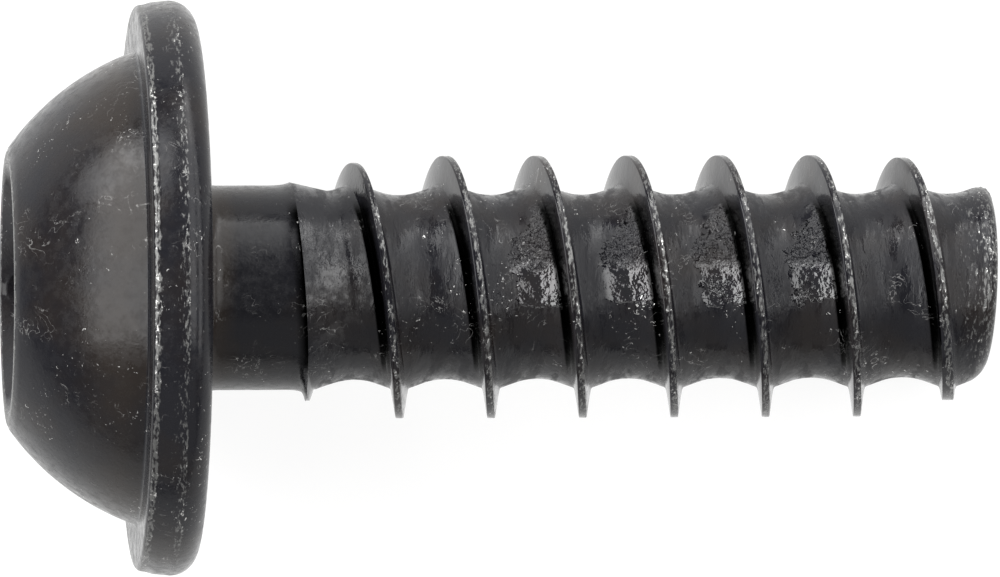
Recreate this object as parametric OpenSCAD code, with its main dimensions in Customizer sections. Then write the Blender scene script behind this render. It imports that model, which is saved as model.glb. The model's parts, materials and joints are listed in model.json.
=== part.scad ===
// Pan head screw for plastics: a domed head forged in one piece with its washer flange,
// a six-lobed socket, a short plain shank and a coarse, narrow, right-hand thread that
// forms its own way into a moulded boss. It is one cold-formed piece of steel wire.
//
// Along the screw, z runs from the bearing face under the flange (z = 0) to the blunt tip.
// The finished screw lies on its side, on the rim of its flange and on its last full crest.

/* [Head] */
// Diameter of the washer flange
flange_d = 13.2; // [12.4:0.1:15]
// Thickness of the flange at its rim
flange_t = 1.38; // [0.9:0.02:1.8]
// Radius that rounds the flange's edge on the bearing side
rim_round = 0.6; // [0.2:0.05:0.7]
// Radius of the flange's edge on the dome side
rim_edge = 0.15; // [0.05:0.01:0.2]
// How much the rim's side draws in towards the dome
rim_draft = 0.1; // [0:0.01:0.25]
// Height of the whole head over the bearing face
head_h = 4.3; // [3.7:0.05:5.2]
// Diameter of the dome where it meets the flange
dome_d = 10.86; // [9.6:0.02:11.6]
// Radius of the arc that the dome's side follows
dome_arc = 6.05; // [4:0.05:12]
// Radius that fills the corner between dome and flange
dome_fillet = 0.12; // [0.05:0.01:0.25]
// Diameter of the flat land round the socket
land_d = 6.35; // [6.1:0.05:7.2]

/* [Socket] */
// Width across two opposite lobes
socket_a = 5.6; // [4.6:0.05:5.7]
// Width across two opposite hollows between the lobes
socket_b = 3.95; // [3.5:0.05:4.1]
// Radius of each lobe's tip
lobe_r = 0.45; // [0.35:0.01:0.55]
// Depth of the six-lobed wall
socket_depth = 2.6; // [1.6:0.05:3]
// Width of the bevel round the socket's mouth
mouth_bevel = 0.12; // [0.05:0.01:0.2]
// Depth of the punched cone below the six-lobed wall
socket_point = 0.5; // [0.2:0.05:0.6]

/* [Shank] */
// Diameter of the plain shank, which is the wire's
shank_d = 4.7; // [4.5:0.02:5]
// Length of the plain shank on the axis
shank_l = 2.36; // [2.1:0.02:3]
// Radius of the hollow under the head
neck_round = 0.5; // [0.2:0.05:0.8]
// How far the rolled edge stands over the shank
lip_h = 0.06; // [0.02:0.01:0.12]
// Length over which the shank swells to that edge
lip_l = 0.5; // [0.3:0.05:0.8]
// Angle by which the rolled edge leans
lip_lean = 4; // [0:0.1:6]
// Direction in which the rolled edge reaches furthest
lip_turn = 268; // [0:1:360]

/* [Thread] */
// Length from the bearing face to the tip
length = 18.42; // [14:0.02:30]
// Diameter over the crests
thread_d = 6.04; // [5.6:0.02:6.6]
// Diameter at the foot of the ridge, where its flanks end
foot_d = 4.68; // [4.4:0.02:4.8]
// Diameter of the core between two ridges
core_d = 4.24; // [4:0.02:4.36]
// Advance in one turn
pitch = 2.12; // [1.9:0.01:2.6]
// Width of the crest
crest_w = 0.18; // [0.08:0.01:0.25]
// Angle of each flank against a plane across the axis
flank_angle = 8; // [5:0.5:15]
// Angle at which the hollow core rises to the ridge's foot
root_slope = 20; // [14:0.5:30]
// Size of the fillet at the ridge's foot
foot_fillet = 0.1; // [0.04:0.01:0.12]
// Place along the axis that the crest's helix would start from, on the side that faces down
helix_start = 1.01; // [0.6:0.01:1.4]
// Angle at which the core narrows behind the rolled edge
run_in_angle = 11; // [6:0.5:20]
// Turns by which the ridge starts ahead of the rolled edge's furthest reach
run_in_lead = 0.09; // [0:0.01:0.3]
// Turns over which the ridge grows to its full height
run_in = 1.15; // [0.5:0.05:2]
// Turns over which the ridge dies away at the tip
run_out = 1; // [0.5:0.05:2]
// How far past the tip the ridge would have died away altogether
run_out_past = 0.08; // [-0.4:0.01:0.4]

/* [Tip] */
// Radius that rounds the tip's edge
tip_round = 0.3; // [0.1:0.02:0.5]

/* [Smoothness] */
// Faces in one turn of the thread
turn_steps = 48; // [24:4:60]

/* [Hidden] */
$fn = 96;

// A little extra, so that a cutting shape runs clear of what it cuts, or overlaps its neighbour
past = 1;
overlap = 0.01;

// How far the core lies under the shank's surface where it starts, and the least distance between
// the edge of a crest that is dying away and the ridge's foot
lip_step = 0.03;
peak_gap = 0.02;

// The ridge's share of its full section is its share of the run-in raised to this power, so that
// it rises quickly and then levels
grow_power = 0.42;

// Straight steps in each arc of the outlines
dome_steps = 24;
edge_steps = 5;
rim_steps = 12;
neck_steps = 8;
lobe_steps = 8;
hollow_steps = 6;
tip_steps = 4;

flange_r = flange_d / 2;
land_r = land_d / 2;
dome_r = dome_d / 2;
shank_r = shank_d / 2;
crest_r = thread_d / 2;
foot_r = foot_d / 2;
core_r = core_d / 2;

// The points of an arc, and a point turned about the centre
function arc(centre, r, from, to, steps) =
    [
        for (i = [0:steps])
            let (a = from + (to - from) * i / steps)
            centre + r * [cos(a), sin(a)]
    ];
function turned(p, angle) =
    [p[0] * cos(angle) - p[1] * sin(angle), p[0] * sin(angle) + p[1] * cos(angle)];

// The centre of the dome's arc, which passes through the land's edge and the dome's foot
dome_top = [land_r, -head_h];
dome_foot = [dome_r, -flange_t];
dome_chord = norm(dome_foot - dome_top);
dome_across = (dome_foot - dome_top) / dome_chord;
dome_centre = (dome_top + dome_foot) / 2
    + sqrt(dome_arc ^ 2 - (dome_chord / 2) ^ 2) * [-dome_across[1], dome_across[0]];

// Where the small fillet between dome and flange touches both
fillet_y = -flange_t - dome_fillet;
fillet_x = dome_centre[0] + sqrt((dome_arc + dome_fillet) ^ 2 - (fillet_y - dome_centre[1]) ^ 2);
fillet_angle = atan2(fillet_y - dome_centre[1], fillet_x - dome_centre[0]);
top_angle = atan2(dome_top[1] - dome_centre[1], dome_top[0] - dome_centre[0]);

// The hollow between two lobes is an arc that touches both lobes' arcs
lobe_at = socket_a / 2 - lobe_r;
hollow_r = (lobe_at ^ 2 + (socket_b / 2) ^ 2 - lobe_at * socket_b * cos(30) - lobe_r ^ 2)
    / (2 * (lobe_r - socket_b / 2 + lobe_at * cos(30)));
hollow_at = socket_b / 2 + hollow_r;
lobe_span = atan2(hollow_at * sin(30), hollow_at * cos(30) - lobe_at);
hollow_span = lobe_span - 30;

// The punched cone starts a little inside the hollows and ends in a small blunt point
cone_r = socket_b / 2 - 0.05;
cone_point_r = 0.05;

// Where the ridge starts and ends, in turns, and the shares of it that are there at one place:
// how far it has grown out of the rolled edge, and how much of its height is left
lip_reach = shank_r * tan(lip_lean);
run_in_from = (shank_l + lip_reach - helix_start) / pitch - run_in_lead;
run_out_to = (length + run_out_past - helix_start) / pitch;
function grown(turn) = max(0, min(1, (turn - run_in_from) / run_in)) ^ grow_power;
function left(turn) = max(0, min(1, (run_out_to - turn) / run_out));

// Half the section, from the ridge's foot out to the valley's floor: [distance, radius]
foot_half = crest_w / 2 + (crest_r - foot_r) * tan(flank_angle);
valley_half = foot_half + (foot_r - core_r) / tan(root_slope);
valley = [
    [foot_half + foot_fillet, foot_r - foot_fillet * tan(root_slope)],
    [valley_half, core_r]
];

// Half the section at one place, from the crest out. The ridge starts narrow and low. It ends cut
// off lower and lower, where the dies had too little metal to fill, so its crest widens there.
function half_section(turn) =
    let (
        peak_r = foot_r + (crest_r - foot_r) * left(turn),
        foot_at = foot_half - foot_fillet * tan(flank_angle),
        peak_half = crest_w / 2 * grown(turn) + (crest_r - peak_r) * tan(flank_angle)
    )
    concat(
        [[min(peak_half, foot_at - peak_gap), peak_r], [foot_at, min(peak_r, foot_r + foot_fillet)]],
        valley
    );
function section(turn) =
    let (half = half_section(turn))
    concat([for (i = [3:-1:0]) [-half[i][0], half[i][1]]], half);
points_a_turn = 8;

// The core starts inside the shank, just under its surface, and ends where the tip's edge rounds.
// Behind the rolled edge it narrows.
lip_from = shank_l - lip_reach;
core_start = lip_from - lip_l;
core_end = length - tip_round;
function run_in_r(z) =
    let (swell = lip_h * max(0, min(z, lip_from) - shank_l + lip_l) / lip_l)
    shank_r + swell - lip_step - max(0, z - lip_from) * tan(run_in_angle);

// The surface's radius at one point of the section, with as much of the ridge as has grown
function surface_r(point, turn, z) =
    let (bare = max(min(point[1], foot_r), run_in_r(z)))
    bare + max(0, point[1] - bare) * grown(turn);

// The bare core's radius anywhere on its surface
function core_r_at(z, angle) =
    let (
        along = (z - helix_start) / pitch - angle / 360,
        from_crest = abs(along - round(along)) * pitch
    )
    lookup(from_crest, [[0, foot_r], valley[0], valley[1]]);

// The tilt at which the rim and a crest touch one plane: the first crest to touch sets it
function tilt_to(turn) =
    let (
        along = helix_start + pitch * turn + rim_round,
        across = flange_r - rim_round - surface_r(half_section(turn)[0], turn, length)
    )
    atan2(across, along) + asin(rim_round / norm([along, across]));
rest_tilt = min([for (turn = [2:floor(run_out_to)]) tilt_to(turn)]);

// Turned in one from the land round the socket to the rolled edge at the end of the plain shank
module head_and_shank() {
    rolled_edge = [shank_r + lip_h, shank_l];
    outline = concat(
        [[0, -head_h], dome_top],
        arc(dome_centre, dome_arc, top_angle, fillet_angle, dome_steps),
        arc([fillet_x, fillet_y], dome_fillet, fillet_angle + 180, 90, edge_steps),
        arc([flange_r - rim_draft - rim_edge, rim_edge - flange_t], rim_edge, -90, 0, edge_steps),
        arc([flange_r - rim_round, -rim_round], rim_round, 0, 90, rim_steps),
        arc([shank_r + neck_round, neck_round], neck_round, -90, -180, neck_steps),
        [[shank_r, shank_l - lip_l], rolled_edge, rolled_edge + [0, past], [0, shank_l + past]]
    );
    difference() {
        rotate_extrude()
            polygon(outline);
        socket();
        rolled_edge_cut();
    }
}

// The plane behind the rolled edge leans a little, as the flat dies left it
module rolled_edge_cut() {
    translate([0, 0, shank_l])
        rotate([0, 0, lip_turn])
            rotate([0, -lip_lean, 0])
                translate([-flange_r, -flange_r, 0])
                    cube([flange_d, flange_d, 2 * past]);
}

// Six round lobes joined by six round hollows, with a bevelled mouth and a shallow punched cone
module socket() {
    translate([0, 0, -head_h])
        linear_extrude(height = socket_depth)
            lobed_outline();
    translate([0, 0, -head_h - past])
        cylinder(
            r1 = socket_a / 2 + mouth_bevel + past,
            r2 = socket_a / 2 - past,
            h = 2 * past + mouth_bevel
        );
    translate([0, 0, socket_depth - head_h - overlap])
        cylinder(r1 = cone_r, r2 = cone_point_r, h = socket_point);
}

module lobed_outline() {
    lobe_arc = arc([lobe_at, 0], lobe_r, -lobe_span, lobe_span, lobe_steps);
    hollow_arc = arc([hollow_at, 0], hollow_r, 180 + hollow_span, 180 - hollow_span, hollow_steps);
    polygon([
        for (lobe = [0:60:300])
            each concat(
                [for (p = lobe_arc) turned(p, lobe)],
                [for (p = hollow_arc) turned(p, lobe + 30)]
            )
    ]);
}

// The core with its ridge: a skin whose rows follow the helix, closed by a disc inside the
// shank and by the rounded tip. Rows that would run past an end are drawn onto that end's ring.
module threaded_core() {
    steps = turn_steps;
    first = floor(((core_start - helix_start - valley_half) / pitch - 1) * steps);
    last = ceil(((core_end - helix_start + valley_half) / pitch + 1) * steps);
    near = pitch / steps / 2;

    function height(step, i) =
        helix_start + pitch * step / steps + section(step / steps)[i][0];
    function ring(step) = (step % steps + steps) % steps;
    function round_point(r, step, z) = [r * cos(360 * step / steps), r * sin(360 * step / steps), z];

    start_ring = [for (s = [0:steps - 1]) round_point(shank_r - lip_step, s, core_start)];
    tip_rings = [
        for (i = [0:tip_steps], s = [0:steps - 1])
            let (a = 90 * i / tip_steps)
            round_point(
                core_r_at(core_end, 360 * s / steps) - tip_round * (1 - cos(a)),
                s,
                core_end + tip_round * sin(a)
            )
    ];
    skin = [
        for (step = [first:last], i = [0:points_a_turn - 1])
            let (turn = step / steps, z = height(step, i))
            round_point(surface_r(section(turn)[i], turn, z), step, z)
    ];
    ends = [[0, 0, core_start], [0, 0, length]];
    tip_at = steps;
    skin_at = tip_at + len(tip_rings);
    ends_at = skin_at + len(skin);

    function place(step, i) =
        i == points_a_turn ? place(step + steps, 0)
        : height(step, i) < core_start + near ? ring(step)
        : height(step, i) > core_end - near ? tip_at + ring(step)
        : skin_at + (step - first) * points_a_turn + i;
    function pair(a, b, c, d) = [[c, b, a], [d, c, a]];

    skin_faces = [
        for (step = [first:last - steps - 1], i = [0:points_a_turn - 1])
            each pair(place(step, i), place(step + 1, i), place(step + 1, i + 1), place(step, i + 1))
    ];
    tip_faces = [
        for (i = [0:tip_steps - 1], s = [0:steps - 1])
            let (low = tip_at + i * steps, high = low + steps, next = (s + 1) % steps)
            each pair(low + s, low + next, high + next, high + s)
    ];
    end_faces = [
        for (s = [0:steps - 1])
            let (next = (s + 1) % steps, edge = tip_at + tip_steps * steps)
            each [[ends_at, s, next], [ends_at + 1, edge + next, edge + s]]
    ];
    polyhedron(
        points = concat(start_ring, tip_rings, skin, ends),
        faces = [
            for (f = concat(skin_faces, tip_faces, end_faces))
                if (f[0] != f[1] && f[1] != f[2] && f[2] != f[0]) f
        ],
        convexity = 10
    );
}

module screw() {
    color([0.16, 0.16, 0.17])
        rotate([0, 90 + rest_tilt, 0])
            union() {
                head_and_shank();
                threaded_core();
            }
}

screw();
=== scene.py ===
"""A pan head screw for plastics, black and lightly oiled, lying on a pale table."""

import json
import math

import bpy
from mathutils import Matrix, Vector


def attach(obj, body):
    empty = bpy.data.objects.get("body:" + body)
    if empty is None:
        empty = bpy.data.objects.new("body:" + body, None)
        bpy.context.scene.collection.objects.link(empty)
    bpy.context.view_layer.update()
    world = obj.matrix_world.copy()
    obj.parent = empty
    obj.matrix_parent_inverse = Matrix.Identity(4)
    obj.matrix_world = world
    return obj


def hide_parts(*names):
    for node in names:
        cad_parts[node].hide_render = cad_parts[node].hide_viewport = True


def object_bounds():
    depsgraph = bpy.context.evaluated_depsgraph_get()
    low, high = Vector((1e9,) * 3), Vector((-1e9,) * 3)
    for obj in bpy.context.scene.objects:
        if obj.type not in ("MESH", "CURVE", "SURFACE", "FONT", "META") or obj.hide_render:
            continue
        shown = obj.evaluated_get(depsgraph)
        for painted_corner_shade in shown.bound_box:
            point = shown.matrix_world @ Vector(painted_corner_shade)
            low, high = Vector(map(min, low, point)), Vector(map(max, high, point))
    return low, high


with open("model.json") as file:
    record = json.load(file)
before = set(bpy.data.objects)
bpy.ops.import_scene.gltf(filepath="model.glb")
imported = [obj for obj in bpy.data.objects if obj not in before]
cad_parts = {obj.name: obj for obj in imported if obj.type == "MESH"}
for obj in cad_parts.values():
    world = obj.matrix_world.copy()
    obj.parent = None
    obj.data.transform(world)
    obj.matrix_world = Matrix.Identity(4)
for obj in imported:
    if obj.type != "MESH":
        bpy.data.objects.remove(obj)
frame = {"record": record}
cad_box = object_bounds()

# The outline of the screw, from the floor of its socket round to its tip. It is cold-formed from
# one length of steel wire, so one line, swept round the axis, makes all of it. Each row is a
# place on that line: its distance along the axis from the bearing face, its radius, how far it
# follows the socket's lobes, the thread's climb, the rolled edge and the sheared tip, how worn
# or thin its coating is, where a lighter band is painted for a highlight, and how much black
# shade is painted on it.
MM = 0.001
WEIGHTS = ("lobed", "bevelled", "climbing", "leaning", "ridged", "sheared", "threaded")
WEIGHTS += ("worn", "thin", "dirty")
rows = []


def row(z, r, **weights):
    rows.append((z * MM, r * MM, [weights.get(name, 0.0) for name in WEIGHTS]))


def arc(centre_z, centre_r, radius, start, end, steps):
    """Points of an arc on the outline. Angles are in degrees from the axis, towards the tip."""
    turns = [math.radians(start + (end - start) * i / steps) for i in range(steps + 1)]
    return [(centre_z + radius * math.cos(a), centre_r + radius * math.sin(a)) for a in turns]


# The socket. A six-lobed punch drives it cold into the head: upright walls, a small bevel round
# the mouth that guides the driver in, and a shallow cone under the walls from the punch's point.
head_h = 4.3
socket_a = 5.6
socket_b = 3.95
lobe_r = 0.45
socket_depth = 2.6
socket_point = 0.5
mouth_r = socket_a / 2 + 0.12
wall_foot = 0.12

lobe_at = socket_a / 2 - lobe_r
half_lobe = math.radians(30)
hollow_r = (
    lobe_at**2 + (socket_b / 2) ** 2 - lobe_at * socket_b * math.cos(half_lobe) - lobe_r**2
) / (2 * (lobe_r - socket_b / 2 + lobe_at * math.cos(half_lobe)))
hollow_at = socket_b / 2 + hollow_r
lobe_span = math.atan2(
    hollow_at * math.sin(half_lobe), hollow_at * math.cos(half_lobe) - lobe_at
)
lobe_ends = math.atan2(lobe_r * math.sin(lobe_span), lobe_at + lobe_r * math.cos(lobe_span))

floor_z = socket_depth - head_h
cone_r = socket_b / 2 - 0.05
for share in (0, 0.03, 0.2, 0.4, 0.6, 0.8, 0.96, 1):
    row(floor_z + socket_point * (1 - share), cone_r * share)
for z, inset in arc(floor_z - wall_foot, wall_foot, wall_foot, 0, -90, 4):
    row(z, -inset, lobed=1)
for depth in (2.2, 1.8, 1.4, 1.1):
    row(depth - head_h, 0, lobed=1)
row(0.05 - head_h, 0, lobed=1, bevelled=1)
row(-head_h, 0.05, lobed=1, bevelled=1)
row(0.05 - head_h, mouth_r - 0.05)

# The head and its washer flange. The dome is struck in a die, so it is smooth, and it meets the
# flange in a small sharp hollow. The flange's two rims are where the coating wears first, in
# the drum and against other screws; their worn weight is also raised to paint a lighter grey
# band that stands in for the highlight on their rounded edges.
flange_r = 6.6
flange_t = 1.38
land_r = 3.175
land_edge = 0.1
dome_r = 5.43
dome_arc = 6.05
dome_fillet = 0.12
rim_edge = 0.15
rim_draft = 0.1
rim_round = 0.6

land = Vector((-head_h, land_r))
foot = Vector((-flange_t, dome_r))
chord = foot - land
side = Vector((chord.y, -chord.x)).normalized()
dome_centre = (land + foot) / 2 + side * math.sqrt(dome_arc**2 - (chord.length / 2) ** 2)
fillet_z = -flange_t - dome_fillet
fillet_rise = math.sqrt((dome_arc + dome_fillet) ** 2 - (fillet_z - dome_centre.x) ** 2)
land_turn = math.degrees(math.atan2(land.y - dome_centre.y, land.x - dome_centre.x))
fillet_turn = math.degrees(math.atan2(fillet_rise, fillet_z - dome_centre.x))
edge_turn = land_turn - math.degrees(land_edge / dome_arc)

for r in (mouth_r, mouth_r + 0.04, land_r - land_edge, land_r - 0.6 * land_edge):
    row(-head_h + (0.02 if r == mouth_r else 0), r, worn=1.1)
row(-head_h + 0.012, land_r - 0.2 * land_edge, worn=1.1)
row(-head_h + 0.035, land_r + 0.015, worn=0.4)
for z, r in arc(dome_centre.x, dome_centre.y, dome_arc, edge_turn, fillet_turn, 30):
    row(z, r, thin=max(0, 1 - abs(z + 1.9) / 1.2))
fillet = (fillet_z, dome_centre.y + fillet_rise, dome_fillet)
for z, r in arc(*fillet, fillet_turn - 180, 0, 6)[1:]:
    row(z, r)
row(-flange_t, (dome_r + flange_r) / 2)
# The first rim's edge takes a high worn weight: a lighter grey band, partly wear, partly a painted highlight.
for z, r in arc(rim_edge - flange_t, flange_r - rim_draft - rim_edge, rim_edge, 180, 90, 9):
    row(z, r, worn=1.0 if z > 0.3 * rim_edge - flange_t else 0.2)
row(rim_edge * 1.5 - flange_t, flange_r - 0.9 * rim_draft, worn=0.15)
row(-(flange_t + rim_round) / 2, flange_r - 0.4 * rim_draft)
# The second rim's edge: a thinner lighter band, partly wear, partly a painted highlight.
for z, r in arc(-rim_round, flange_r - rim_round, rim_round, 90, 0, 24):
    row(z, r, worn=0.74 if z < -0.93 * rim_round else 0.2)
for r in (5.4, 4.6, 3.8):
    row(0, r)

# The plain shank, which is the wire as drawn, with the hollow that strengthens it under the head.
# The thread dies push metal back against it and leave a rolled edge, a little out of true, which
# peaks where the ridge starts.
shank_r = 2.35
shank_l = 2.36
neck_round = 0.5
lip_h = 0.07
lip_l = 0.5
lip_lean = math.radians(4)
lip_turn = math.radians(268)
run_in_angle = math.radians(13)

for z, r in arc(neck_round, shank_r + neck_round, neck_round, 180, 270, 10):
    row(z, r, thin=1)
for z in (0.9, 1.4):
    row(z, shank_r, leaning=z / shank_l)
# The rolled edge's end takes painted shade: a black line where its step lies in shadow.
for share in (0, 0.25, 0.4, 0.5, 0.6, 0.7, 0.8, 0.88, 0.95, 1):
    row(
        shank_l - lip_l * (1 - share), shank_r + lip_h * share**3,
        leaning=1, ridged=share**3, worn=0.2 * share, dirty=max(0, min(1, 2.4 * share - 1.2)),
    )

# The thread: coarse, narrow and right-hand, with steep flanks that cut into the plastic and a
# hollow core that leaves room for what they push aside. Flat dies roll it, so it grows out of the
# rolled edge within a turn and dies away at the tip, and its crest stays rough and takes the wear.
thread_r = 3.02
foot_r = 2.34
core_r = 2.12
pitch = 2.12
crest_w = 0.18
flank_angle = math.radians(8)
root_slope = math.radians(20)
helix_start = 1.01
run_in = 1.15
run_in_lead = 0.09
run_out = 1.1
run_out_past = 0.08
length = 18.42
tip_round = 0.38

foot_half = crest_w / 2 + (thread_r - foot_r) * math.tan(flank_angle)
valley_half = foot_half + (foot_r - core_r) / math.tan(root_slope)
core_end = length - tip_round
run_in_from = (shank_l + shank_r * math.tan(lip_lean) - helix_start) / pitch - run_in_lead
run_out_to = (length + run_out_past - helix_start) / pitch
places = [0.04, 0.07, 0.088, 0.105, 0.13, 0.155, 0.18, 0.2, 0.23, 0.27, 0.33, 0.45, 0.6, 0.7]
places += [0.78, 0.9]
for turn in range(-2, 10):
    for place in [-pitch / 2, *(-p for p in reversed(places)), *places]:
        row(helix_start + pitch * turn + place, 0, climbing=1, threaded=1, ridged=1)

# The blunt tip, where the wire was sheared off and the dies rounded the cut: its face is not quite
# square to the axis.
tip_skew = 0.13
for z, r in arc(core_end, -tip_round, tip_round, 90, 0, 7):
    row(z, r, threaded=1, ridged=1, sheared=1, worn=0.8)
for share in (0.72, 0.5, 0.25, 0):
    row(length, 0, threaded=share, sheared=1, worn=0.3)

outline = bpy.data.meshes.new("outline")
outline.from_pydata([(r, 0, z) for z, r, _ in rows], [], [])
for name, values in zip(WEIGHTS, zip(*(weights for _, _, weights in rows))):
    outline.attributes.new(name, "FLOAT", "POINT").data.foreach_set("value", values)


# The sweep. One tree turns the outline round the axis: each plain row becomes a ring, and each
# row of the thread climbs one pitch a turn, so that the next turn's row meets it at the seam.
def add(tree, kind, *feeds, **settings):
    """A new node: its settings are set and its inputs are fed in order, each by a link or a value."""
    node = tree.nodes.new(kind)
    for name, value in settings.items():
        setattr(node, name, value)
    for socket, feed in zip([s for s in node.inputs if s.enabled], feeds):
        if isinstance(feed, bpy.types.NodeSocket):
            tree.links.new(feed, socket)
        elif feed is not None:
            socket.default_value = feed
    return next((s for s in node.outputs if s.enabled), None)


MATH = "ShaderNodeMath"
TO_RADIANS = 2 * math.pi
sizes = {
    "Steps in a Turn": 216,
    "Pitch": pitch * MM,
    "Helix Start": helix_start * MM,
    "Crest Radius": thread_r * MM,
    "Crest Width": crest_w * MM,
    "Flank Angle": flank_angle,
    "Foot Radius": foot_r * MM,
    "Foot Distance": foot_half * MM,
    "Core Radius": core_r * MM,
    "Core Slope": root_slope,
    "Shank Radius": shank_r * MM,
    "Shank Length": shank_l * MM,
    "Lip Height": lip_h * MM,
    "Narrowing Starts": (shank_l - shank_r * math.tan(lip_lean)) * MM,
    "Run-in Angle": run_in_angle,
    "Run-in Starts": run_in_from,
    "Run-in Turns": run_in,
    "Run-out Ends": run_out_to,
    "Run-out Turns": run_out,
    "Lip Lean": lip_lean,
    "Lip Direction": lip_turn,
    "Core End": core_end * MM,
    "Tip Skew": tip_skew * MM,
    "Lobe Radius": lobe_r * MM,
    "Lobe Centre": lobe_at * MM,
    "Lobe Ends": lobe_ends,
    "Hollow Radius": hollow_r * MM,
    "Hollow Centre": hollow_at * MM,
    "Mouth Radius": mouth_r * MM,
}
sweep = bpy.data.node_groups.new("sweep the outline", "GeometryNodeTree")
sweep.interface.new_socket("Outline", in_out="INPUT", socket_type="NodeSocketGeometry")
for name, value in sizes.items():
    kind = "NodeSocketInt" if isinstance(value, int) else "NodeSocketFloat"
    sweep.interface.new_socket(name, in_out="INPUT", socket_type=kind)
sweep.interface.new_socket("Finish", in_out="INPUT", socket_type="NodeSocketMaterial")
sweep.interface.new_socket("Screw", in_out="OUTPUT", socket_type="NodeSocketGeometry")
given = sweep.nodes.new("NodeGroupInput").outputs

# Each point of the grid belongs to one row of the outline and one step round the axis.
row_count = add(
    sweep, "GeometryNodeAttributeDomainSize", given["Outline"], component="MESH"
)
columns = add(sweep, MATH, given["Steps in a Turn"], 1, operation="ADD")
grid = add(sweep, "GeometryNodeMeshGrid", 1, 1, row_count, columns)
index = add(sweep, "GeometryNodeInputIndex")
row_number = add(sweep, MATH, add(sweep, MATH, index, columns, operation="DIVIDE"), operation="FLOOR")
step = add(sweep, MATH, index, columns, operation="MODULO")
around = add(sweep, MATH, step, given["Steps in a Turn"], operation="DIVIDE")
angle = add(sweep, MATH, around, TO_RADIANS, operation="MULTIPLY")
place = add(
    sweep,
    "GeometryNodeSampleIndex",
    given["Outline"],
    add(sweep, "GeometryNodeInputPosition"),
    row_number,
    data_type="FLOAT_VECTOR",
)
row_r, _, row_z = add(sweep, "ShaderNodeSeparateXYZ", place).node.outputs
weight = {}
for name in WEIGHTS:
    kept = add(sweep, "GeometryNodeInputNamedAttribute", name)
    weight[name] = add(sweep, "GeometryNodeSampleIndex", given["Outline"], kept, row_number)

# The six lobes: inside its own span a lobe's arc gives the radius, and between two lobes the
# hollow's arc does.
from_lobe = add(sweep, MATH, angle, half_lobe, operation="PINGPONG")
from_hollow = add(sweep, MATH, half_lobe, from_lobe, operation="SUBTRACT")
arcs = []
for turned, centre, radius, outside in (
    (from_lobe, given["Lobe Centre"], given["Lobe Radius"], 1),
    (from_hollow, given["Hollow Centre"], given["Hollow Radius"], -1),
):
    across = add(sweep, MATH, centre, add(sweep, MATH, turned, operation="SINE"), operation="MULTIPLY")
    along = add(sweep, MATH, centre, add(sweep, MATH, turned, operation="COSINE"), operation="MULTIPLY")
    square = add(sweep, MATH, across, across, operation="MULTIPLY")
    room = add(
        sweep, MATH, add(sweep, MATH, radius, radius, operation="MULTIPLY"), square, operation="SUBTRACT"
    )
    reach = add(sweep, MATH, add(sweep, MATH, room, 0, operation="MAXIMUM"), operation="SQRT")
    arcs.append(add(sweep, MATH, reach, outside, along, operation="MULTIPLY_ADD"))
in_lobe = add(sweep, MATH, from_lobe, given["Lobe Ends"], operation="LESS_THAN")
lobed_r = add(sweep, "ShaderNodeMix", in_lobe, arcs[1], arcs[0])

# The leaning rolled edge and the skewed tip: how far each ring shifts along the axis.
lean = add(
    sweep,
    MATH,
    add(sweep, MATH, given["Shank Radius"], add(sweep, MATH, given["Lip Lean"], operation="TANGENT"),
        operation="MULTIPLY"),
    add(sweep, MATH, add(sweep, MATH, angle, given["Lip Direction"], operation="SUBTRACT"),
        operation="COSINE"),
    operation="MULTIPLY",
)
shear = add(
    sweep,
    MATH,
    add(sweep, MATH, add(sweep, MATH, angle, operation="SINE"), 1, operation="SUBTRACT"),
    add(sweep, MATH, given["Tip Skew"], 2, operation="DIVIDE"),
    operation="MULTIPLY",
)
lip_z = add(sweep, MATH, given["Shank Length"], lean, operation="ADD")
tip_z = add(sweep, MATH, given["Core End"], shear, operation="ADD")
bevel = add(sweep, MATH, given["Mouth Radius"], lobed_r, operation="SUBTRACT")
climb = add(sweep, MATH, around, given["Pitch"], operation="MULTIPLY")
z = row_z
for name, shift in (("climbing", climb), ("leaning", lean), ("sheared", shear), ("bevelled", bevel)):
    z = add(sweep, MATH, weight[name], shift, z, operation="MULTIPLY_ADD")

# The thread's rows stop at the rolled edge and at the tip, where they gather on one ring.
held = add(sweep, MATH, add(sweep, MATH, z, lip_z, operation="MAXIMUM"), tip_z, operation="MINIMUM")
z = add(sweep, "ShaderNodeMix", weight["climbing"], z, held)

# The thread's section: how far each point is from the nearest crest, along the axis, sets its
# height over the core, and where it is along the helix sets how far the ridge has grown.
from_start = add(sweep, MATH, z, given["Helix Start"], operation="SUBTRACT")
turns = add(
    sweep, MATH, add(sweep, MATH, from_start, given["Pitch"], operation="DIVIDE"), around,
    operation="SUBTRACT",
)
nearest = add(sweep, MATH, turns, operation="ROUND")
past_crest = add(
    sweep, MATH, add(sweep, MATH, turns, nearest, operation="SUBTRACT"), given["Pitch"],
    operation="MULTIPLY",
)
gap = add(sweep, MATH, past_crest, operation="ABSOLUTE")
helix_turn = add(sweep, MATH, nearest, around, operation="ADD")
grown = add(
    sweep,
    MATH,
    add(sweep, MATH, helix_turn, given["Run-in Starts"], operation="SUBTRACT"),
    given["Run-in Turns"],
    operation="DIVIDE",
    use_clamp=True,
)
left = add(
    sweep,
    MATH,
    add(sweep, MATH, given["Run-out Ends"], helix_turn, operation="SUBTRACT"),
    given["Run-out Turns"],
    operation="DIVIDE",
    use_clamp=True,
)
rise = add(sweep, MATH, grown, 0.42, operation="POWER")
core_fall = add(
    sweep,
    MATH,
    add(sweep, MATH, gap, given["Foot Distance"], operation="SUBTRACT"),
    add(sweep, MATH, given["Core Slope"], operation="TANGENT"),
    operation="MULTIPLY",
)
core = add(
    sweep, MATH, add(sweep, MATH, given["Foot Radius"], core_fall, operation="SUBTRACT"),
    given["Core Radius"], 0.14 * MM, operation="SMOOTH_MAX",
)
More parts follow.
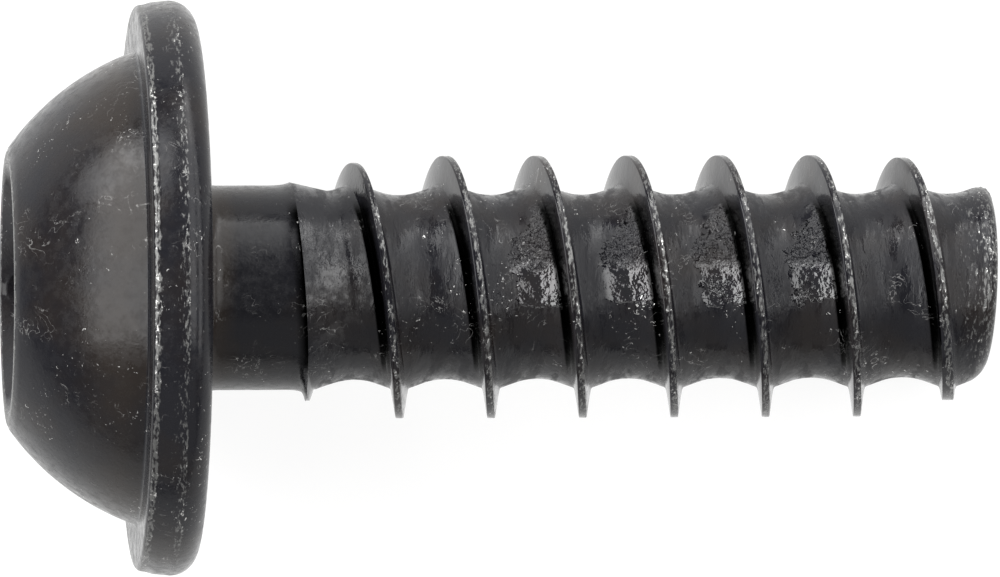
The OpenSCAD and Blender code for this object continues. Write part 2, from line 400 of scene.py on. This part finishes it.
core = add(sweep, MATH, core, given["Foot Radius"], operation="MINIMUM")
run_in_fall = add(
    sweep, MATH, add(sweep, MATH, z, given["Narrowing Starts"], operation="SUBTRACT"),
    add(sweep, MATH, given["Run-in Angle"], operation="TANGENT"), operation="MULTIPLY",
)
lip_r = add(sweep, MATH, given["Shank Radius"], given["Lip Height"], operation="ADD")
run_in_r = add(sweep, MATH, lip_r, run_in_fall, operation="SUBTRACT")
bare = add(sweep, MATH, core, run_in_r, 0.06 * MM, operation="SMOOTH_MAX")
# The ridge starts narrow and low. It ends cut off lower and lower, where the dies had too little
# metal to fill, so its crest widens there.
half_crest = add(
    sweep, MATH, add(sweep, MATH, given["Crest Width"], 2, operation="DIVIDE"), rise,
    operation="MULTIPLY",
)
flank_drop = add(
    sweep,
    MATH,
    add(sweep, MATH, gap, half_crest, operation="SUBTRACT"),
    add(sweep, MATH, given["Flank Angle"], operation="TANGENT"),
    operation="DIVIDE",
)
flank = add(sweep, MATH, given["Crest Radius"], flank_drop, operation="SUBTRACT")
peak = add(
    sweep,
    "ShaderNodeMapRange",
    left,
    0,
    1,
    given["Foot Radius"],
    given["Crest Radius"],
)
flank = add(sweep, MATH, flank, peak, 0.1 * MM, operation="SMOOTH_MIN")
flank = add(sweep, MATH, weight["threaded"], row_r, flank, operation="MULTIPLY_ADD")

# The ridge stands on the core, or near the rolled edge on the shank's own surface.
r = add(sweep, MATH, weight["lobed"], lobed_r, row_r, operation="MULTIPLY_ADD")
r = add(sweep, MATH, weight["threaded"], bare, r, operation="MULTIPLY_ADD")
ridge_share = add(sweep, MATH, rise, weight["ridged"], operation="MULTIPLY")
ridge = add(sweep, "ShaderNodeMix", ridge_share, r, flank)
foot_blend = add(sweep, MATH, ridge_share, 0.26 * MM, operation="MULTIPLY")
r = add(sweep, MATH, r, ridge, foot_blend, operation="SMOOTH_MAX")
r = add(sweep, MATH, r, 0, operation="MAXIMUM")
x = add(sweep, MATH, r, add(sweep, MATH, angle, operation="COSINE"), operation="MULTIPLY")
y = add(sweep, MATH, r, add(sweep, MATH, angle, operation="SINE"), operation="MULTIPLY")
body = add(sweep, "GeometryNodeSetPosition", grid, None, add(sweep, "ShaderNodeCombineXYZ", x, y, z))

# What the finish needs to know: where the coating is worn and, on the flange's rims, where a
# highlight is painted, where oil gathers, on the head's side of each ridge, what the thread dies
# have rolled, and where shade is painted.
crest_from = add(sweep, "ShaderNodeMapRange", past_crest, -0.075 * MM, -0.035 * MM, 0.0, 1.0)
crest_to = add(sweep, "ShaderNodeMapRange", past_crest, 0.11 * MM, 0.19 * MM, 1.0, 0.0)
at_crest = add(sweep, MATH, crest_from, crest_to, operation="MULTIPLY")
crest_wear = add(sweep, MATH, at_crest, ridge_share, operation="MULTIPLY")
crest_wear = add(sweep, MATH, crest_wear, 0.88, operation="MULTIPLY")
past_lip = add(sweep, MATH, z, lip_z, operation="SUBTRACT")
lip_wear = add(sweep, "ShaderNodeMapRange", past_lip, 0.3 * MM, 1.0 * MM, 0.25, 0.0)
lip_wear = add(sweep, MATH, lip_wear, weight["climbing"], operation="MULTIPLY")
wear_and_highlight = add(sweep, MATH, crest_wear, weight["worn"], operation="MAXIMUM")
wear_and_highlight = add(sweep, MATH, wear_and_highlight, lip_wear, operation="MAXIMUM")
to_tip = add(sweep, MATH, tip_z, z, operation="SUBTRACT")
tip_wear = add(sweep, "ShaderNodeMapRange", to_tip, 0.0, 1.0 * MM, 0.6, 0.0)
tip_wear = add(sweep, MATH, tip_wear, weight["climbing"], operation="MULTIPLY")
wear_and_highlight = add(sweep, MATH, wear_and_highlight, tip_wear, operation="MAXIMUM")
body = add(sweep, "GeometryNodeStoreNamedAttribute", body, None, "wear_and_highlight", wear_and_highlight)
before_crest = add(
    sweep, MATH, add(sweep, MATH, past_crest, -1, operation="MULTIPLY"), 0, given["Pitch"],
    operation="WRAP",
)
oil_start = add(sweep, "ShaderNodeMapRange", before_crest, 1.35 * MM, 1.2 * MM, 0.0, 1.0)
oil_end = add(sweep, "ShaderNodeMapRange", before_crest, 0.31 * MM, 0.25 * MM, 1.0, 0.0)
oily = add(
    sweep, MATH, add(sweep, MATH, oil_start, oil_end, operation="MULTIPLY"), weight["climbing"],
    operation="MULTIPLY",
)
body = add(sweep, "GeometryNodeStoreNamedAttribute", body, None, "oily", oily)
before_crest = add(sweep, "ShaderNodeMix", weight["climbing"], given["Pitch"], before_crest)
body = add(sweep, "GeometryNodeStoreNamedAttribute", body, None, "before_crest", before_crest)
on_flank = add(sweep, "ShaderNodeMapRange", gap, 0.16 * MM, 0.2 * MM, 1.0, 0.0)
on_flank = add(sweep, MATH, weight["climbing"], on_flank, operation="MULTIPLY")
body = add(sweep, "GeometryNodeStoreNamedAttribute", body, None, "flank", on_flank)
off_ridge = add(sweep, "ShaderNodeMapRange", gap, 0.2 * MM, 0.36 * MM, 0.0, 1.0)
rolled = add(sweep, MATH, weight["climbing"], off_ridge, operation="MULTIPLY")
body = add(sweep, "GeometryNodeStoreNamedAttribute", body, None, "rolled", rolled)
body = add(sweep, "GeometryNodeStoreNamedAttribute", body, None, "thin", weight["thin"])
body = add(sweep, "GeometryNodeStoreNamedAttribute", body, None, "dirty", weight["dirty"])
body = add(sweep, "GeometryNodeMergeByDistance", body, None, 0.002 * MM)
body = add(sweep, "GeometryNodeRealizeInstances", body)
body = add(sweep, "GeometryNodeSetMaterial", body, None, given["Finish"])
add(sweep, "NodeGroupOutput", body)


# The finish. The steel is phosphated black and oiled: a thin, dark, slightly rough coating that
# takes soft reflections, with a little brown and blue in it, wetter where oil has gathered at the
# thread's feet, and rubbed through to bright steel in specks along the edges and crests. Black
# shade is painted along each ridge's foot and the rolled edge's end, and the grey rubbing on the
# flange's rims is partly a painted highlight.
def linear(code):
    """The linear colour of an sRGB hex code, as R, G, B and alpha."""
    parts = [int(code[i : i + 2], 16) / 255 for i in (1, 3, 5)]
    return (*(c / 12.92 if c < 0.04045 else ((c + 0.055) / 1.055) ** 2.4 for c in parts), 1.0)


axis = Vector(next(m["axis"] for m in frame["record"]["mounts"] if m["name"] == "bearing_face"))
rest_turn = Matrix.Rotation(math.atan2(axis.x, axis.z), 4, "Y")

steel = bpy.data.materials.new("phosphated black steel")
steel.use_nodes = True
coat = steel.node_tree
coat.nodes.clear()
NOISE = "ShaderNodeTexNoise"
RANGE = "ShaderNodeMapRange"

# Object coordinates turned back onto the screw's own axis, so that Z runs along it.
on_screw = add(
    coat,
    "ShaderNodeMapping",
    add(coat, "ShaderNodeTexCoord").node.outputs["Object"],
    None,
    rest_turn.inverted().to_euler(),
    vector_type="POINT",
)
wear_and_highlight = add(coat, "ShaderNodeAttribute", attribute_name="wear_and_highlight").node.outputs["Fac"]
oily = add(coat, "ShaderNodeAttribute", attribute_name="oily").node.outputs["Fac"]
rolled = add(coat, "ShaderNodeAttribute", attribute_name="rolled").node.outputs["Fac"]

# Colour: patches a few millimetres across, browner where the coating is thin, and streaks round
# the core and crests that the rolling dies left.
thin = add(coat, "ShaderNodeAttribute", attribute_name="thin").node.outputs["Fac"]
patches = add(coat, NOISE, on_screw, 420, 4.0, 0.6)
tone = add(coat, MATH, add(coat, RANGE, patches, 0.35, 0.7, -0.3, 0.7), thin, operation="ADD", use_clamp=True)
around_screw = add(coat, "ShaderNodeMapping", on_screw, None, None, (1, 1, 3))
streaks = add(coat, NOISE, around_screw, 1500, 4.0, 0.6)
colour = add(coat, "ShaderNodeMix", tone, linear("#121216"), linear("#1c1714"), data_type="RGBA")

# Wear: rubbing first greys the coating, then breaks it up into flecks of bright steel. It is
# densest on the crests and the flange's rims, where the grey band is also a painted highlight of
# the rounded edges. Elsewhere dust and chips lie in loose clusters.
rub = add(coat, NOISE, around_screw, 5600, 4.0, 0.65)
scuff_and_highlight = add(coat, MATH, rub, add(coat, MATH, wear_and_highlight, 0.26, operation="MULTIPLY"), operation="ADD")
scuff_and_highlight = add(coat, RANGE, scuff_and_highlight, 0.7, 0.8, 0.0, 1.0)
chips = add(coat, NOISE, on_screw, 11000, 2.0, 0.5, None, 1.2)
clusters = add(coat, RANGE, add(coat, NOISE, on_screw, 620, 3.0, 0.6), 0.42, 0.7, -0.03, 0.11)
chip_share = add(coat, MATH, chips, clusters, operation="ADD")
chip_share = add(coat, MATH, scuff_and_highlight, 0.13, chip_share, operation="MULTIPLY_ADD")
bright = add(coat, RANGE, chip_share, 0.76, 0.81, 0.0, 1.0)

# Hairline scratches curl through a few of those clusters.
curls = add(coat, NOISE, on_screw, 1500, 3.0, 0.5, None, 2.0)
off_line = add(coat, MATH, add(coat, MATH, curls, 0.5, operation="SUBTRACT"), operation="ABSOLUTE")
scratches = add(coat, RANGE, off_line, 0.002, 0.008, 0.36, 0.0)
scratched = add(coat, RANGE, add(coat, NOISE, on_screw, 900, 3.0, 0.6), 0.57, 0.66, 0.0, 1.0)
scratches = add(coat, MATH, scratches, scratched, operation="MULTIPLY")
bright = add(coat, MATH, bright, scratches, operation="MAXIMUM")
colour = add(coat, "ShaderNodeMix", scuff_and_highlight, colour, linear("#666665"), data_type="RGBA")

# Oil: it lies in the corner on the head's side of each ridge, smooth and wet, where the screw was
# wiped least. Its ragged edge slants back into the valley, and high up it has dried to a crackle.
before_crest = add(coat, "ShaderNodeAttribute", attribute_name="before_crest").node.outputs["Fac"]
side_x, side_y, side_z = add(coat, "ShaderNodeSeparateXYZ", on_screw).node.outputs
reach = add(coat, RANGE, side_y, 0.7 * MM, 1.6 * MM, 1.3 * MM, 0.5 * MM)
inside = add(coat, MATH, reach, before_crest, operation="SUBTRACT")
inside = add(coat, RANGE, inside, -0.3 * MM, 0.3 * MM, -0.8, 0.8)
off_middle = add(
    coat, MATH, add(coat, MATH, side_z, 10.6 * MM, operation="SUBTRACT"), operation="ABSOLUTE"
)
stretch = add(coat, RANGE, off_middle, 3.6 * MM, 5.2 * MM, 0.5, -0.9)
spread = add(coat, RANGE, add(coat, NOISE, on_screw, 1600, 4.0, 0.62), 0.3, 0.7, -0.7, 0.7)
oil = add(coat, MATH, add(coat, MATH, inside, stretch, operation="MINIMUM"), spread, operation="ADD")
lowest = add(coat, RANGE, side_y, -0.7 * MM, -0.25 * MM, -1.3, 0.0)
oil = add(coat, MATH, oil, lowest, operation="ADD")
least_wiped = add(coat, RANGE, side_x, -1.2 * MM, -1.6 * MM, 0.0, 1.0)
least_wiped = add(coat, MATH, least_wiped, oily, operation="MULTIPLY")
edge = add(coat, RANGE, oil, -0.1, 0.2, 0.0, 1.0, interpolation_type="SMOOTHSTEP")
oil = add(coat, MATH, add(coat, RANGE, oil, 0.0, 0.04, 0.0, 1.0), least_wiped, operation="MULTIPLY")
dried = add(coat, RANGE, side_y, 0.35 * MM, 0.65 * MM, 0.0, 1.0)
gloss = add(coat, MATH, oil, add(coat, "ShaderNodeMix", dried, 1, 0.2), operation="MULTIPLY")
smear = add(coat, RANGE, add(coat, NOISE, on_screw, 1300, 5.0, 0.65), 0.46, 0.6, 0.0, 0.75)
near_lip = add(coat, RANGE, side_z, 3.3 * MM, 3.8 * MM, 1.0, 0.0)
smear = add(coat, MATH, add(coat, MATH, smear, near_lip, operation="MULTIPLY"), rolled, operation="MULTIPLY")
on_top = add(coat, RANGE, add(coat, MATH, side_y, operation="ABSOLUTE"), 1.1 * MM, 1.6 * MM, 1.0, 0.0)
smear = add(coat, MATH, smear, on_top, operation="MULTIPLY")
gloss = add(coat, MATH, gloss, smear, operation="MAXIMUM")

# Painted shade: black and dull, along the foot of each ridge's flank on the head's side, where
# that flank lies in shadow, and on the rolled edge's end, fading out 1.75 to 2 mm from the middle
# across the screw.
painted_corner_shade = add(coat, RANGE, before_crest, 0.29 * MM, 0.33 * MM, 1.0, 0.0)
clear_of_crest = add(coat, RANGE, before_crest, 0.1 * MM, 0.13 * MM, 0.0, 1.0)
painted_corner_shade = add(coat, MATH, painted_corner_shade, clear_of_crest, operation="MULTIPLY")
dirty = add(coat, "ShaderNodeAttribute", attribute_name="dirty").node.outputs["Fac"]
painted_corner_shade = add(coat, MATH, painted_corner_shade, dirty, operation="MAXIMUM")
from_side = add(coat, MATH, side_y, operation="ABSOLUTE")
near_middle = add(coat, RANGE, from_side, 1.75 * MM, 2.0 * MM, 1.0, 0.0)
painted_corner_shade = add(coat, MATH, painted_corner_shade, near_middle, operation="MULTIPLY")
colour = add(coat, "ShaderNodeMix", painted_corner_shade, colour, linear("#000000"), data_type="RGBA")

# Surface: a fine grain in the coating, slight waves from forging, the dies' streaks in the thread,
# and the oil's own soft swells.
grain = add(coat, NOISE, on_screw, 9000, 3.0, 0.6)
waves = add(coat, NOISE, on_screw, 1100, 2.0, 0.5)
wrinkles = add(coat, NOISE, on_screw, 2400, 3.0, 0.55)
flank = add(coat, "ShaderNodeAttribute", attribute_name="flank").node.outputs["Fac"]
mottle = add(coat, NOISE, on_screw, 4000, 6.0, 0.7)
rough = add(coat, RANGE, mottle, 0.4, 0.6, 0.32, 0.16)
burnish = add(coat, RANGE, add(coat, NOISE, around_screw, 900, 5.0, 0.7), 0.44, 0.56, 0.46, 0.14)
rough = add(coat, "ShaderNodeMix", rolled, rough, burnish)
rough = add(coat, "ShaderNodeMix", flank, rough, 0.1)
rough = add(coat, "ShaderNodeMix", scuff_and_highlight, rough, 0.45)
rough = add(coat, "ShaderNodeMix", bright, rough, 0.35)
rough = add(coat, "ShaderNodeMix", oil, rough, 0.05)
relief = add(coat, "ShaderNodeBump", 0.6, 0.006 * MM, None, grain)
relief = add(coat, "ShaderNodeBump", 0.3, 0.03 * MM, None, waves, relief)
relief = add(coat, "ShaderNodeBump", rolled, 0.03 * MM, None, streaks, relief)
pitted = add(coat, MATH, scuff_and_highlight, 0.6, operation="MULTIPLY")
relief = add(coat, "ShaderNodeBump", pitted, 0.03 * MM, None, rub, relief)
crackled = add(coat, "ShaderNodeMix", dried, 0.15, 1)
crackle = add(coat, NOISE, on_screw, 6500, 3.0, 0.5)
film = add(coat, "ShaderNodeBump", 1.0, 0.06 * MM, None, wrinkles)
film = add(coat, "ShaderNodeBump", crackled, 0.2 * MM, None, crackle, film)
film = add(coat, "ShaderNodeBump", 1.0, 0.05 * MM, None, edge, film)

shader = coat.nodes.new("ShaderNodeBsdfPrincipled")
shader.inputs["Specular IOR Level"].default_value = 0.2
shader.inputs["Coat Roughness"].default_value = 0.04
for socket, feed in (
    ("Base Color", add(coat, "ShaderNodeMix", bright, colour, linear("#bdbcba"), data_type="RGBA")),
    ("Metallic", add(coat, MATH, add(coat, MATH, bright, scuff_and_highlight, operation="MAXIMUM"), painted_corner_shade, operation="MAXIMUM")),
    ("Roughness", rough),
    ("Normal", add(coat, "ShaderNodeMix", oil, relief, film, data_type="VECTOR")),
    ("Coat Weight", gloss),
    ("Coat Normal", film),
):
    coat.links.new(feed, shader.inputs[socket])
add(coat, "ShaderNodeOutputMaterial", shader.outputs[0])

# The finished mesh: the tree's result, made plain, turned into the place where the screw rests.
former = bpy.data.objects.new("screw_body", outline)
frame_collection = bpy.context.scene.collection
frame_collection.objects.link(former)
swept = former.modifiers.new("sweep", "NODES")
swept.node_group = sweep
for item in sweep.interface.items_tree:
    if item.in_out == "INPUT" and item.name in sizes:
        swept[item.identifier] = sizes[item.name]
    elif item.name == "Finish":
        swept[item.identifier] = steel
plain = bpy.data.meshes.new_from_object(former.evaluated_get(bpy.context.evaluated_depsgraph_get()))
former.modifiers.clear()
former.data = plain
former.name = plain.name = "pan_head_screw"
plain.transform(rest_turn)
plain.shade_smooth()
plain.set_sharp_from_angle(angle=math.radians(32))
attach(former, "root")
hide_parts("screw")

# The table it lies on: plain white card, far wider than the screw.
table_z = cad_box[0].z
table = bpy.data.meshes.new("table")
half = 1.5
table.from_pydata(
    [(x * half, y * half, table_z) for x, y in ((-1, -1), (1, -1), (1, 1), (-1, 1))], [], [(0, 1, 2, 3)]
)
card = bpy.data.materials.new("white card")
card.use_nodes = True
card.node_tree.nodes["Principled BSDF"].inputs["Base Color"].default_value = linear("#666665")
card.node_tree.nodes["Principled BSDF"].inputs["Roughness"].default_value = 0.9
card.node_tree.nodes["Principled BSDF"].inputs["Emission Color"].default_value = (1, 1, 1, 1)
card.node_tree.nodes["Principled BSDF"].inputs["Emission Strength"].default_value = 0.86
table.materials.append(card)
table_top = bpy.data.objects.new("table", table)
frame_collection.objects.link(table_top)

# The light: strips of soft boxes arched over the screw from the far side, with a dark gap between
# them where the camera looks in, a dimmer strip on the near side, and a pale room.
def soft_arch(name, across, over, brightness, panels=3, distance=0.3):
    """Flat panels on an arch. Both pairs are angles from straight up, across the screw and over it."""
    step = (over[1] - over[0]) / panels
    width = 2 * distance * math.tan(math.radians(across[1] - across[0]) / 2)
    depth = 2 * distance * math.tan(math.radians(step) / 2)
    for i in range(panels):
        light = bpy.data.lights.new(f"{name}_{i}", "AREA")
        light.shape = "RECTANGLE"
        light.size, light.size_y = width, depth
        light.energy = brightness * math.pi * width * depth
        holder = bpy.data.objects.new(light.name, light)
        holder.visible_camera = False
        frame_collection.objects.link(holder)
        middle = math.radians(over[0] + step * (i + 0.5))
        turn = Matrix.Rotation(math.radians(sum(across) / 2), 4, "Y")
        holder.matrix_world = (
            turn @ Matrix.Rotation(-middle, 4, "X") @ Matrix.Translation((0, 0, distance))
        )


soft_arch("soft_box_tip", (24, 52), (-20, 80), 4.0)
soft_arch("soft_box_end", (62, 78), (-20, 80), 4)
soft_arch("soft_box_head", (-54, -18), (-24, 62), 6.5)
soft_arch("soft_box_dome", (-73, -56), (34, 60), 6, panels=1)
soft_arch("soft_box_near", (-45, 45), (-82, -36), 0.45, panels=1)
world = bpy.data.worlds.new("room")
world.use_nodes = True
world.node_tree.nodes["Background"].inputs["Color"].default_value = (1, 1, 1, 1)
world.node_tree.nodes["Background"].inputs["Strength"].default_value = 0.3
bpy.context.scene.world = world
bpy.context.scene.view_settings.view_transform = "Standard"

# The camera: a long lens almost straight above the screw, a little towards its head, with the
# screw lying across the whole of the frame.
aim_along = 7.055 * MM
view_distance = 257.7 * MM
view_yaw = math.radians(5.68)
view_roll = math.radians(0.2)
view_shift = 0.037 * MM
up = Vector((axis.z, 0, -axis.x)) * -1
towards = up * math.cos(view_yaw) - axis * math.sin(view_yaw)
aim = axis * aim_along - Vector((0, view_shift, 0))
camera = bpy.data.cameras.new("camera")
camera.lens = 403
camera.sensor_width = 36
camera.clip_start = 0.01
viewer = bpy.data.objects.new("camera", camera)
frame_collection.objects.link(viewer)
right = Vector((towards.z, 0, -towards.x))
turned_frame = Matrix((right, Vector((0, 1, 0)), towards)).transposed()
viewer.matrix_world = (
    Matrix.Translation(aim + towards * view_distance)
    @ turned_frame.to_4x4()
    @ Matrix.Rotation(-view_roll, 4, "Z")
)
bpy.context.scene.camera = viewer
